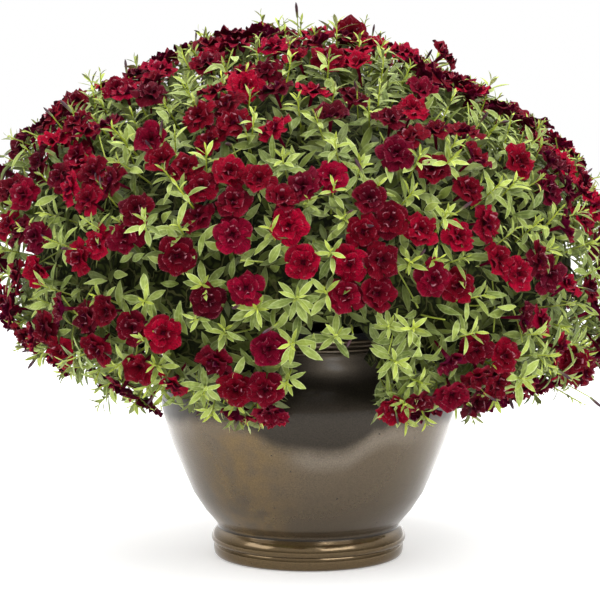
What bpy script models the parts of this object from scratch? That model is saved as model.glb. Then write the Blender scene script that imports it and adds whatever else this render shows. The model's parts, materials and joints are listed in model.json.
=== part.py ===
# Double calibrachoa in full flower, a round mound that spills over a turned, glazed pot.
# Metres, +Z up. The origin is the middle of the pot's flat underside, and the front is -Y.
import math
import random

import bmesh
import bpy
from mathutils import Matrix, Vector
from mathutils.bvhtree import BVHTree

# Driving dimensions of the pot
POT_HEIGHT = 0.207
POT_WALL = 0.009
POT_FLOOR = 0.013
FOOT_RADIUS = 0.0875
WAIST = (0.0820, 0.027)
BELLY_RADIUS = 0.1328
BELLY_HEIGHT = 0.146
NECK = (0.1075, 0.1965)
LIP_RADIUS = 0.1105
TURNED_STEPS = 26
GAP = 0.0003

# Driving dimensions of the soil and the stems
SOIL_TOP = 0.190
SOIL_CROWN = 0.004
STEM_HOLE_DEPTH = 0.045
STEM_RADIUS = 0.0040
STEM_RING = 0.060
HOLE_SIDES = 6
# Place, azimuth and straight rise of an outer stem's end and of the middle one's
STEM_ENDS = ((0.66, None, 0.07), (0.10, 0.3, 0.05))
STEM_BOW = 0.025

# Driving dimensions of the mound of flowers
MOUND_RADIUS = 0.262
MOUND_MIDDLE = 0.285
MOUND_TOP = 0.187
MOUND_DROP = 0.132
HEM_RADIUS = 0.160
HEM_FULLNESS = 3.0
HEM_END = 2.08
# The hem rises towards the left and the right side
RISE_LEFT = 0.036
RISE_RIGHT = 0.014
# Swellings and dips of the mound: azimuth in degrees, place from the top, height
LUMPS = (
    (180, 0.88, 0.028),
    (0, 0.42, -0.027),
    (-62, 0.95, 0.010),
    (-128, 1.12, 0.012),
    (-95, 0.55, -0.008),
    (60, 0.60, 0.014),
    (118, 0.98, 0.012),
    (92, 0.38, -0.010),
    (12, 1.50, 0.022),
    (-150, 0.45, -0.008),
)
LUMP_SPREAD = 0.068
# Steps of azimuth and place over which slopes of the mound are taken
SLOPE_STEP = 0.03
PLACE_STEP = 0.02
# How far the flowers and shoots stay from the hem, and how thickly they stand below the widest line
HEM_MARGIN = 0.04
HEM_SHARE = 0.55
# The foliage parts at the front, where the pot's rim shows
PARTING_AZIMUTH = math.radians(-85)
PARTING_HALF = math.radians(6.5)
PARTING_FADE = math.radians(9)
PARTING_END = 1.20

# Core of twigs and inner leaves under the flowers
CORE_DEPTH = 0.025
CORE_THICK = 0.013
CORE_ROUGH = 0.0095
CORE_SHIFT = 0.30
# The core's smooth band above the hem, and what is left of the grid past it
CORE_HEM = 0.03
CORE_SMOOTH = 0.08
CORE_DRAWN = 0.08
CROWN_END = 0.46
SECTORS = 6
SECTOR_STEPS = 8
CORE_RINGS = 10
CROWN_RINGS = 4
SECTOR_GAP = 0.0005

# Flowers
SEED = 11
CLUSTERS = 50
CLUSTER_LIMIT = 7
BLOOMS = 220
CLUSTER_APART = 0.080
# Tries at the full distance between clusters before it is eased
FULL_TRIES = 4000
EASED_APART = 0.9
BLOOM_RADIUS = 0.0165
BLOOM_STEP = (0.0250, 0.0275)
BLOOM_CLEAR = 0.0348
BLOOM_LEAN = 0.08
PETALS = 5
PETAL_NOTCH = 0.17
PETAL_WAVE = 0.0012
INNER_REACH = 0.55
INNER_HEIGHT = 0.0055
# A flower is moved by this much at a time until it joins its neighbour by enough faces and clears the core
SEAT_STEP = 0.0005
SEAT_TRIES = 30
JOINING_FACES = 8

# Leaf tufts at the shoot tips
TUFTS = 76
TUFT_LEAVES = 7
LEAF_LENGTH = 0.0240
LEAF_WAIST = 0.36
TUFT_APART = 0.0505
TUFT_CLEAR = 0.0205
TUFT_LIFT = (0.0105, 0.0150)
LONG_SHOOT_SHARE = 0.14
LONG_SHOOT_EXTRA = (0.004, 0.010)
SHOOT_RADIUS = 0.0015
# Height of a leaf star's middle, of its raised leaves and of its level ones
STAR_MIDDLE = 0.0022
STAR_RAISED = 0.0075
STAR_LEVEL = 0.0010
# No shoot roots this near the gap between two cores, or past the place where its leaves would reach the pot
EDGE_PLACE = 0.03
EDGE_CLEAR = 0.006
TUFT_END = 1.80


def clear_scene():
    for item in list(bpy.data.objects):
        bpy.data.objects.remove(item)


def make_collection(name, hidden=False):
    group = bpy.data.collections.new(name)
    bpy.context.scene.collection.children.link(group)
    group.hide_render = hidden
    return group


def make_material(name, colour, roughness, metallic=0.0):
    material = bpy.data.materials.new(name)
    material.use_nodes = True
    shader = material.node_tree.nodes["Principled BSDF"]
    shader.inputs["Base Color"].default_value = (*colour, 1)
    shader.inputs["Roughness"].default_value = roughness
    shader.inputs["Metallic"].default_value = metallic
    return material


def add_object(name, bm, group, material):
    """Turns an edit mesh into a named object in a collection."""
    bmesh.ops.triangulate(bm, faces=[face for face in bm.faces if len(face.verts) == 4])
    mesh = bpy.data.meshes.new(name)
    bm.to_mesh(mesh)
    bm.free()
    mesh.materials.append(material)
    item = bpy.data.objects.new(name, mesh)
    group.objects.link(item)
    return item


# Pot and soil


def smooth_run(points, steps):
    """Points of a Catmull-Rom curve through a turned outline's own points."""
    ends = [points[0], *points, points[-1]]
    run = []
    for before, start, end, after in zip(ends, ends[1:], ends[2:], ends[3:]):
        for step in range(steps):
            t = step / steps
            run.append(
                tuple(
                    0.5
                    * (
                        2 * b
                        + (c - a) * t
                        + (2 * a - 5 * b + 4 * c - d) * t * t
                        + (3 * b - a - 3 * c + d) * t**3
                    )
                    for a, b, c, d in zip(before, start, end, after)
                )
            )
    return run + [points[-1]]


def belly_points():
    """The points that shape the pot's side, from the neck down to the waist above its foot."""
    shoulder = (0.97 * BELLY_RADIUS, 0.171)
    belly = (BELLY_RADIUS, BELLY_HEIGHT)
    flank = (0.915 * BELLY_RADIUS, 0.098)
    lower = (0.76 * BELLY_RADIUS, 0.055)
    return [NECK, shoulder, belly, flank, lower, WAIST]


def wall_points(inset):
    """The inner side of the pot's wall, from the bottom up, or a line inside it."""
    wall = [(radius - POT_WALL - inset, height) for radius, height in belly_points()]
    return wall[-2::-1]


def pot_outline():
    """Inner wall from the floor up, over the rolled lip, down the outer side and under the foot."""
    lip_middle = POT_HEIGHT - 0.005
    inner = wall_points(0)
    lip = [
        (LIP_RADIUS - 0.010, lip_middle),
        (LIP_RADIUS - 0.004, POT_HEIGHT),
        (LIP_RADIUS, lip_middle),
    ]
    foot = [
        (FOOT_RADIUS - 0.0010, 0.0215),
        (FOOT_RADIUS, 0.0120),
        (FOOT_RADIUS - 0.0005, 0.0035),
        (FOOT_RADIUS - 0.0060, 0.0),
    ]
    floor = [(0.0, POT_FLOOR), (WAIST[0] - POT_WALL, POT_FLOOR)]
    return floor + inner + lip + smooth_run(belly_points(), 2) + foot + [(0.0, 0.0)]


def soil_outline():
    """The soil fills the pot to below its rim, a gap inside the wall."""
    inset = 1.5 * GAP
    wall = wall_points(inset)
    share = (SOIL_TOP - wall[-2][1]) / (wall[-1][1] - wall[-2][1])
    brim = wall[-2][0] + share * (wall[-1][0] - wall[-2][0])
    top = [(0.0, SOIL_TOP + SOIL_CROWN), (0.6 * brim, SOIL_TOP + 0.7 * SOIL_CROWN), (brim, SOIL_TOP)]
    bottom = [(WAIST[0] - POT_WALL - inset, POT_FLOOR + GAP), (0.0, POT_FLOOR + GAP)]
    return top + wall[-2::-1] + bottom


def turned(name, outline, group, material):
    """A solid of revolution from a profile whose outer side runs from top to bottom."""
    bm = bmesh.new()
    points = [bm.verts.new((radius, 0, height)) for radius, height in outline]
    for first, second in zip(points, points[1:]):
        bm.edges.new((first, second))
    item = add_object(name, bm, group, material)
    screw = item.modifiers.new("turn", "SCREW")
    screw.steps = TURNED_STEPS
    screw.render_steps = TURNED_STEPS
    screw.use_merge_vertices = True
    screw.merge_threshold = 0.00001
    return item


def apply_modifiers(item):
    """Replaces the object's mesh by what its modifiers make of it."""
    bpy.context.view_layer.update()
    graph = bpy.context.evaluated_depsgraph_get()
    mesh = bpy.data.meshes.new_from_object(item.evaluated_get(graph))
    item.modifiers.clear()
    item.data = mesh


def stem_place(index):
    """Where a stem leaves the soil. The last one stands in the middle."""
    if index == SECTORS:
        return Vector((0, 0, 0))
    azimuth = math.radians(60 * index + 30)
    return Vector((STEM_RING * math.cos(azimuth), STEM_RING * math.sin(azimuth), 0))


def make_pot(group, glaze):
    pot = turned("pot", pot_outline(), group, glaze)
    pot.data.shade_smooth()
    pot.data.set_sharp_from_angle(angle=math.radians(40))
    return pot


def make_soil(group, cutters, peat):
    """Soil with a plain hole for each stem."""
    soil = turned("soil", soil_outline(), group, peat)
    radius = (STEM_RADIUS + GAP) / math.cos(math.pi / HOLE_SIDES)
    for index in range(SECTORS + 1):
        bm = bmesh.new()
        bottom = SOIL_TOP - STEM_HOLE_DEPTH
        height = 2 * STEM_HOLE_DEPTH
        bmesh.ops.create_cone(
            bm,
            cap_ends=True,
            segments=HOLE_SIDES,
            radius1=radius,
            radius2=radius,
            depth=height,
            matrix=Matrix.Translation(stem_place(index) + Vector((0, 0, bottom + height / 2))),
        )
        hole = add_object(f"stem_hole_{index}", bm, cutters, peat)
        hole.display_type = "WIRE"
        hole.hide_render = True
        cut = soil.modifiers.new(hole.name, "BOOLEAN")
        cut.operation = "DIFFERENCE"
        cut.object = hole
    return soil


# Shape of the mound


def meridian(place):
    """Radius and height of the plain mound at a place from 0, the top, over 1, its widest, to the hem."""
    angle = place * math.pi / 2
    if place <= 1:
        return MOUND_RADIUS * math.sin(angle), MOUND_MIDDLE + MOUND_TOP * math.cos(angle)
    angle -= math.pi / 2
    power = 2 / HEM_FULLNESS
    reach = math.copysign(abs(math.cos(angle)) ** power, math.cos(angle))
    drop = math.sin(angle) ** power
    return HEM_RADIUS + (MOUND_RADIUS - HEM_RADIUS) * reach, MOUND_MIDDLE - MOUND_DROP * drop


def outward(place):
    """The plain mound's outward direction in its meridian plane."""
    low, high = meridian(max(place - 0.01, 0)), meridian(place + 0.01)
    along = Vector((high[0] - low[0], high[1] - low[1])).normalized()
    return -along.y, along.x


def round_point(azimuth, radius, height):
    return Vector((radius * math.cos(azimuth), radius * math.sin(azimuth), height))


def lump_height(azimuth, place):
    here = round_point(azimuth, *meridian(place))
    total = 0.0
    for degrees, lump_at, height in LUMPS:
        away = (here - round_point(math.radians(degrees), *meridian(lump_at))).length
        total += height * math.exp(-((away / LUMP_SPREAD) ** 2) / 2)
    return total


def mound_point(azimuth, place, depth=0.0):
    radius, height = meridian(place)
    across, up = outward(place)
    raised = lump_height(azimuth, place) - depth
    if place > 1:
        side = math.cos(azimuth)
        rise = RISE_LEFT if side < 0 else RISE_RIGHT
        height += rise * (side * math.sin((place - 1) * math.pi / 2)) ** 2
    return round_point(azimuth, radius + across * raised, height + up * raised)


def mound_normal(azimuth, place):
    place = max(place, SLOPE_STEP)
    around = mound_point(azimuth + SLOPE_STEP, place) - mound_point(azimuth - SLOPE_STEP, place)
    down = mound_point(azimuth, place + SLOPE_STEP) - mound_point(azimuth, place - SLOPE_STEP)
    return down.cross(around).normalized()


def hem_place(azimuth):
    """Where the foliage ends: lower all round than at the parting over the rim."""
    away = abs((azimuth - PARTING_AZIMUTH + math.pi) % (2 * math.pi) - math.pi)
    share = min(max((away - PARTING_HALF) / PARTING_FADE, 0), 1)
    share = share * share * (3 - 2 * share)
    return PARTING_END + (HEM_END - PARTING_END) * share


def random_place(rng):
    """A seeded random place, as likely on any patch of the mound."""
    while True:
        azimuth = rng.uniform(-math.pi, math.pi)
        place = rng.uniform(0, HEM_END)
        stretch = 1.0 if place <= 1 else HEM_SHARE
        if rng.random() * MOUND_RADIUS > meridian(place)[0] * stretch:
            continue
        if place < hem_place(azimuth) - HEM_MARGIN:
            return azimuth, place


# Where flowers and tufts grow


def lay_out_blooms(rng):
    """Clusters of flowers: each flower overlaps one of its own cluster and clears the others'."""
    clusters = []
    tries = 0
    while len(clusters) < CLUSTERS:
        tries += 1
        spot = random_place(rng)
        point = mound_point(*spot)
        apart = CLUSTER_APART * (1 if tries < FULL_TRIES else EASED_APART)
        if all((point - cluster[0][1]).length > apart for cluster in clusters):
            clusters.append([(spot, point)])
    count = len(clusters)
    for _ in range(60000):
        if count >= BLOOMS:
            break
        own = rng.choice(clusters)
        spot, point = rng.choice(own)
        turn = rng.uniform(-math.pi, math.pi)
        step = rng.uniform(*BLOOM_STEP)
        radius = max(meridian(spot[1])[0], 0.02)
        azimuth = spot[0] + step * math.cos(turn) / radius
        ahead = mound_point(spot[0], spot[1] + PLACE_STEP)
        place = abs(spot[1] + step * math.sin(turn) * PLACE_STEP / (ahead - point).length)
        if place > hem_place(azimuth) - HEM_MARGIN or len(own) >= CLUSTER_LIMIT:
            continue
        new = mound_point(azimuth, place)
        if not BLOOM_STEP[0] < (new - point).length < BLOOM_STEP[1]:
            continue
        if any((new - other[1]).length < BLOOM_STEP[0] for other in own):
            continue
        others = [bloom for cluster in clusters if cluster is not own for bloom in cluster]
        if any((new - other[1]).length < BLOOM_CLEAR for other in others):
            continue
        own.append(((azimuth, place), new))
        count += 1
    return clusters


def lay_out_tufts(rng, clusters):
    """Shoot tips between the flowers, clear of them and of each other."""
    blooms = [point for cluster in clusters for _, point in cluster]
    tufts = []
    for _ in range(40000):
        if len(tufts) >= TUFTS:
            break
        azimuth, place = random_place(rng)
        point = mound_point(azimuth, place)
        if any((point - other).length < TUFT_CLEAR for other in blooms):
            continue
        if any((point - mound_point(*tuft[:2])).length < TUFT_APART for tuft in tufts):
            continue
        lift = rng.uniform(*TUFT_LIFT)
        if rng.random() < LONG_SHOOT_SHARE:
            lift += rng.uniform(*LONG_SHOOT_EXTRA)
        tufts.append((azimuth, place, lift, rng.uniform(0, 1), rng.uniform(0.9, 1.06)))
    return tufts


# Flowers


def facing(normal, turn):
    """A rotation that takes +Z to the normal, turned about it."""
    return normal.to_track_quat("Z", "Y").to_matrix() @ Matrix.Rotation(turn, 3, "Z")


def bloom_mesh(rng, point, normal, towards, core_tree, raised):
    """A double flower: five outer petals, a raised inner whorl between them and a sunk throat.
    It narrows below to its short tube, which ends a gap above the core."""
    bm = bmesh.new()
    bmesh.ops.create_cone(
        bm, cap_ends=True, cap_tris=True, segments=2 * PETALS, radius1=1, radius2=0.5, depth=1
    )
    radius = BLOOM_RADIUS * rng.uniform(0.96, 1.03)
    centre = point + normal * (rng.uniform(-0.001, 0.001) + raised)
    lean = Vector([rng.uniform(-BLOOM_LEAN, BLOOM_LEAN) for _ in range(3)])
    axis = (normal + lean).normalized()
    ahead = (towards - axis * towards.dot(axis)).normalized()
    turn = Matrix((ahead, axis.cross(ahead), axis)).transposed()
    hit = core_tree.ray_cast(centre, -axis, 2 * CORE_DEPTH)
    foot = CORE_DEPTH - CORE_ROUGH if hit[0] is None else hit[3] - 2 * GAP
    for vert in bm.verts:
        around = math.atan2(vert.co.y, vert.co.x)
        out = math.hypot(vert.co.x, vert.co.y)
        wave = math.cos(PETALS * around)
        if out > 0.75:
            reach = radius * (1 - PETAL_NOTCH + PETAL_NOTCH * wave) * rng.uniform(0.97, 1.0)
            height = -PETAL_WAVE * wave + rng.uniform(-0.4, 0.4) * PETAL_WAVE
        elif out > 0.1:
            # Each pair of inner points becomes one, between two outer petals
            around = 2 * math.pi / PETALS * (math.floor(around * PETALS / (2 * math.pi)) + 0.5)
            reach = INNER_REACH * radius
            height = INNER_HEIGHT
        else:
            reach = 0
            height = -0.0005 if vert.co.z > 0 else -foot
        vert.co = Vector((reach * math.cos(around), reach * math.sin(around), height))
    bmesh.ops.remove_doubles(bm, verts=bm.verts, dist=0.00001)
    bmesh.ops.triangulate(bm, faces=bm.faces)
    bm.transform(Matrix.Translation(centre) @ turn.to_4x4())
    return bm


def seated_bloom(seed, spot, point, near, core_tree, earlier):
    """A flower brought nearer to its neighbour until they join, and raised clear of the core."""
    raised = 0.0
    towards = near - point
    for _ in range(SEAT_TRIES):
        bm = bloom_mesh(random.Random(seed), point, mound_normal(*spot), towards, core_tree, raised)
        tree = BVHTree.FromBMesh(bm)
        joined = earlier is None or len(tree.overlap(earlier)) >= JOINING_FACES
        if joined and not tree.overlap(core_tree):
            return bm, point
        bm.free()
        if joined:
            raised += SEAT_STEP
        else:
            point = point + SEAT_STEP * towards.normalized()
    return None, point


def unite(base, repeats):
    """Joins a collection's objects to the base by one Boolean union, and removes them."""
    if not repeats.objects:
        bpy.data.collections.remove(repeats)
        return
    union = base.modifiers.new("union", "BOOLEAN")
    union.operation = "UNION"
    union.operand_type = "COLLECTION"
    union.collection = repeats
    union.solver = "EXACT"
    apply_modifiers(base)
    for item in list(repeats.objects):
        bpy.data.objects.remove(item)
    bpy.data.collections.remove(repeats)


def keep_largest(item):
    """Drops scraps that hang on the solid by a point or an edge, or lie loose."""
    bm = bmesh.new()
    bm.from_mesh(item.data)
    todo = set(bm.faces)
    pieces = []
    while todo:
        found = {todo.pop()}
        fresh = list(found)
        while fresh:
            edges = {edge for face in fresh for edge in face.edges if len(edge.link_faces) == 2}
            near = {face for edge in edges for face in edge.link_faces}
            fresh = list(near - found)
            found |= near
        todo -= found
        pieces.append(found)
    pieces.sort(key=len)
    for scrap in pieces[:-1]:
        bmesh.ops.delete(bm, geom=list(scrap), context="FACES")
    bm.to_mesh(item.data)
    bm.free()


def make_blooms(rng, clusters, group, petal, core_tree):
    """One object for each cluster of flowers that overlap."""
    made = []
    for index, cluster in enumerate(clusters):
        name = f"blooms_{index + 1:02d}"
        repeats = make_collection(f"repeats_{name}")
        items, seated = [], []
        for spot, point in cluster:
            aim = point + Vector((0.3, 0.2, 1))
            near = min(seated, key=lambda other: (other - point).length, default=aim)
            earlier = tree_of(items) if items else None
            bm, point = seated_bloom(rng.random(), spot, point, near, core_tree, earlier)
            if bm is None:
                continue
            seated.append(point)
            items.append(add_object(name, bm, repeats if items else group, petal))
        unite(items[0], repeats)
        keep_largest(items[0])
        made.append(items[0])
    return made


# Leafy stems


def core_slab(rings, steps, place_of, azimuth_of):
    """A grid thickened in the mound's own coordinates, then laid on the mound below the flowers.
    Its outer side is raised and sunk by turns, and its inner side has every second row."""
    bm = bmesh.new()
    bmesh.ops.create_grid(bm, x_segments=rings, y_segments=steps, size=1)
    bmesh.ops.solidify(bm, geom=list(bm.faces), thickness=1)
    outer_level = min(vert.co.z for vert in bm.verts)
    rng = random.Random(rings)
    for vert in bm.verts:
        row = round((vert.co.x + 1) / 2 * rings)
        column = round((vert.co.y + 1) / 2 * steps)
        inner = abs(vert.co.z - outer_level) > 0.5
        row += row % 2 if inner else 0
        x, y = 2 * row / rings - 1, 2 * column / steps - 1
        raised = CORE_ROUGH * rng.uniform(0.6, 1.2) * (1 if (row + column) % 2 else -1)
        shift_x, shift_y = [rng.uniform(-CORE_SHIFT, CORE_SHIFT) for _ in range(2)]
        azimuth, place = azimuth_of(x, y), place_of(x, y)
        hem = hem_place(azimuth) - CORE_HEM
        if place > hem - CORE_SMOOTH:
            # Near the hem the surface is smooth, and past it the grid is drawn together
            raised = 0
            place = min(place, hem + CORE_DRAWN * (place - hem))
        elif not inner and 0 < row < rings and 0 < column < steps:
            azimuth = azimuth_of(x + 2 * shift_x / rings, y + 2 * shift_y / steps)
            place = place_of(x + 2 * shift_x / rings, y + 2 * shift_y / steps)
        depth = CORE_DEPTH + CORE_THICK if inner else CORE_DEPTH - raised
        vert.co = mound_point(azimuth, place, depth)
    bmesh.ops.remove_doubles(bm, verts=bm.verts, dist=0.00001)
    bmesh.ops.triangulate(bm, faces=bm.faces)
    bmesh.ops.recalc_face_normals(bm, faces=bm.faces)
    return bm


def sector_core(index):
    middle = math.radians(60 * index + 30)
    half = math.radians(30)

    def azimuth_of(x, y):
        edge = SECTOR_GAP / MOUND_RADIUS if abs(y) > 0.99 else 0
        return middle + y * half - math.copysign(edge, y)

    def place_of(x, y):
        start = CROWN_END + 0.012
        return start + (x + 1) / 2 * (HEM_END - 0.02 - start)

    return core_slab(CORE_RINGS, SECTOR_STEPS, place_of, azimuth_of)


def crown_core():
    def azimuth_of(x, y):
        major, minor = (x, y) if abs(x) >= abs(y) else (y, x)
        if major == 0:
            return 0.0
        swing = math.pi / 4 * minor / major
        if abs(x) >= abs(y):
            return swing + (0 if x > 0 else math.pi)
        return math.pi / 2 - swing + (0 if y > 0 else math.pi)

    def place_of(x, y):
        return max(CROWN_END * max(abs(x), abs(y)), 0.0001)

    return core_slab(2 * CROWN_RINGS, 2 * CROWN_RINGS, place_of, azimuth_of)


def make_stem(index, group, green):
    """A woody stem from its hole in the soil up and out into the underside of its core."""
    foot = stem_place(index) + Vector((0, 0, SOIL_TOP - STEM_HOLE_DEPTH + GAP))
    if index == SECTORS:
        place, azimuth, rise = STEM_ENDS[1]
    else:
        place, _, rise = STEM_ENDS[0]
        azimuth = math.radians(60 * index + 30)
    end = mound_point(azimuth, place, CORE_DEPTH + 0.6 * CORE_THICK)
    bottom = foot + Vector((0, 0, STEM_HOLE_DEPTH + rise))
    bend = bottom.lerp(end, 0.5) + Vector((0, 0, STEM_BOW))
    route = [foot, bottom, bend, end]
    curve = bpy.data.curves.new("stem", "CURVE")
    curve.dimensions = "3D"
    curve.bevel_depth = STEM_RADIUS
    curve.bevel_resolution = 1
    curve.use_fill_caps = True
    line = curve.splines.new("POLY")
    line.points.add(len(route) - 1)
    for point, at in zip(line.points, route):
        point.co = (*at, 1)
    item = bpy.data.objects.new("stem", curve)
    group.objects.link(item)
    bpy.context.view_layer.update()
    graph = bpy.context.evaluated_depsgraph_get()
    mesh = bpy.data.meshes.new_from_object(item.evaluated_get(graph))
    group.objects.unlink(item)
    bpy.data.objects.remove(item)
    bm = bmesh.new()
    bm.from_mesh(mesh)
    bmesh.ops.remove_doubles(bm, verts=bm.verts, dist=0.00001)
    bmesh.ops.recalc_face_normals(bm, faces=bm.faces)
    return add_object("stem", bm, group, green)


def tuft_mesh(tuft):
    """A star of pointed leaves, every second one raised, ridged along the middle."""
    azimuth, place, lift, turn, size = tuft
    point = mound_point(azimuth, place)
    normal = mound_normal(azimuth, place)
    bm = bmesh.new()
    bmesh.ops.create_cone(
        bm, cap_ends=True, cap_tris=True, segments=2 * TUFT_LEAVES, radius1=1, radius2=0, depth=1
    )
    length = LEAF_LENGTH * size
    for vert in bm.verts:
        around = math.atan2(vert.co.y, vert.co.x)
        step = round(around / math.pi * TUFT_LEAVES)
        if math.hypot(vert.co.x, vert.co.y) < 0.1:
            reach = 0
            height = STAR_MIDDLE if vert.co.z > 0 else -STAR_MIDDLE
        elif step % 2:
            reach = LEAF_WAIST * length
            height = 0
        else:
            raised = step % 4 == 0
            reach = length * (0.86 if raised else 1)
            height = STAR_RAISED if raised else STAR_LEVEL
        vert.co = Vector((reach * math.cos(around), reach * math.sin(around), height))
    frame = facing(normal, turn * 2 * math.pi)
    bm.transform(Matrix.Translation(point + normal * lift) @ frame.to_4x4())
    return bm


def shoot_mesh(tuft, core_tree):
    """The shoot that carries a tuft, rooted well inside the core."""
    azimuth, place, lift, turn = tuft[:4]
    point = mound_point(azimuth, place)
    normal = mound_normal(azimuth, place)
    hit = core_tree.ray_cast(point, -normal, 2 * CORE_DEPTH)
    if hit[0] is None:
        return None
    root = hit[3] + 0.5 * CORE_THICK
    length = lift + root
    bm = bmesh.new()
    aside = facing(normal, turn * 2 * math.pi) @ Vector((0.2 * LEAF_LENGTH, 0, 0))
    middle = point + aside + normal * (lift - root) / 2
    bmesh.ops.create_cone(
        bm,
        cap_ends=True,
        segments=3,
        radius1=1.3 * SHOOT_RADIUS,
        radius2=SHOOT_RADIUS,
        depth=length,
        matrix=Matrix.Translation(middle) @ facing(normal, 0).to_4x4(),
    )
    return bm


def tree_of(items):
    """A search tree over several objects' faces."""
    points, faces = [], []
    for item in items:
        start = len(points)
        points += [vert.co.copy() for vert in item.data.vertices]
        faces += [[start + v for v in face.vertices] for face in item.data.polygons]
    return BVHTree.FromPolygons(points, faces)


def owner_of(azimuth, place):
    if place < CROWN_END:
        return SECTORS
    return int((azimuth % (2 * math.pi)) // math.radians(60))


def near_edge(azimuth, place):
    """True where a shoot would root in the gap between two cores, or stand too near the pot."""
    if abs(place - CROWN_END) < EDGE_PLACE or place > TUFT_END:
        return True
    across = (azimuth % math.radians(60)) * meridian(place)[0]
    width = math.radians(60) * meridian(place)[0]
    return place > CROWN_END and min(across, width - across) < EDGE_CLEAR


def make_leafy_stems(cores, tufts, group, green, bloom_tree):
    trees = [tree_of([core]) for core in cores]
    for index, core in enumerate(cores):
        repeats = make_collection(f"repeats_{core.name}")
        make_stem(index, repeats, green)
        others = [bloom_tree] + trees[:index] + trees[index + 1 :]
        for tuft in tufts:
            if owner_of(*tuft[:2]) != index:
                continue
            shoot = shoot_mesh(tuft, trees[index])
            if shoot is None:
                continue
            star = tuft_mesh(tuft)
            met = [BVHTree.FromBMesh(bm).overlap(tree) for bm in (star, shoot) for tree in others]
            if any(met):
                star.free()
                shoot.free()
                continue
            add_object("tuft", star, repeats, green)
            add_object("shoot", shoot, repeats, green)
        unite(core, repeats)
        keep_largest(core)


def main():
    clear_scene()
    group = make_collection("calibrachoa")
    cutters = make_collection("cutters", hidden=True)
    glaze = make_material("bronze_glaze", (0.10, 0.07, 0.045), 0.25, 0.6)
    peat = make_material("potting_soil", (0.035, 0.022, 0.014), 0.95)
    green = make_material("leaf_green", (0.12, 0.24, 0.05), 0.55)
    petal = make_material("crimson_petal", (0.32, 0.004, 0.016), 0.55)
    make_pot(group, glaze)
    make_soil(group, cutters, peat)
    cores = [
        add_object(f"leafy_stem_{index + 1}", sector_core(index), group, green)
        for index in range(SECTORS)
    ]
    cores.append(add_object("leafy_stem_crown", crown_core(), group, green))
    rng = random.Random(SEED)
    clusters = lay_out_blooms(rng)
    tufts = [tuft for tuft in lay_out_tufts(rng, clusters) if not near_edge(*tuft[:2])]
    flowers = make_blooms(rng, clusters, group, petal, tree_of(cores))
    make_leafy_stems(cores, tufts, group, green, tree_of(flowers))


main()
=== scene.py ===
import json
import math
import random

import bmesh
import bpy
import numpy as np
from mathutils import Matrix, Vector, noise

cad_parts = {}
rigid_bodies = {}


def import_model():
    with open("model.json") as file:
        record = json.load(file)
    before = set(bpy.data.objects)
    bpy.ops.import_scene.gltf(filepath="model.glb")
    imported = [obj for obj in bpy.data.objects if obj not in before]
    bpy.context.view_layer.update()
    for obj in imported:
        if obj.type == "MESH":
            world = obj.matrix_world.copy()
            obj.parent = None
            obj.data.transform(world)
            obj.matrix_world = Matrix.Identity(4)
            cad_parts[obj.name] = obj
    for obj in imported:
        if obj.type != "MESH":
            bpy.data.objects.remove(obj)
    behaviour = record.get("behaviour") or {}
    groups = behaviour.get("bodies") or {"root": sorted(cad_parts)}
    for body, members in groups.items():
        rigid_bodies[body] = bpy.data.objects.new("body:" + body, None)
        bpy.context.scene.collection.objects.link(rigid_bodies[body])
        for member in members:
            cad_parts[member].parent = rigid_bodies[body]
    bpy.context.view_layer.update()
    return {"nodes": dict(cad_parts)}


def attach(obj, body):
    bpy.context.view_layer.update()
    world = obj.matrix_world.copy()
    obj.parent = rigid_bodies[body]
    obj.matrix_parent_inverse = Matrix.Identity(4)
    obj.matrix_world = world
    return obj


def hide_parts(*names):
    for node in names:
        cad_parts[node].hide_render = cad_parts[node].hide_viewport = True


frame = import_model()
bpy.ops.object.select_all(action="DESELECT")
print("frame loaded,", len(frame["nodes"]), "nodes")


# Materials

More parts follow.
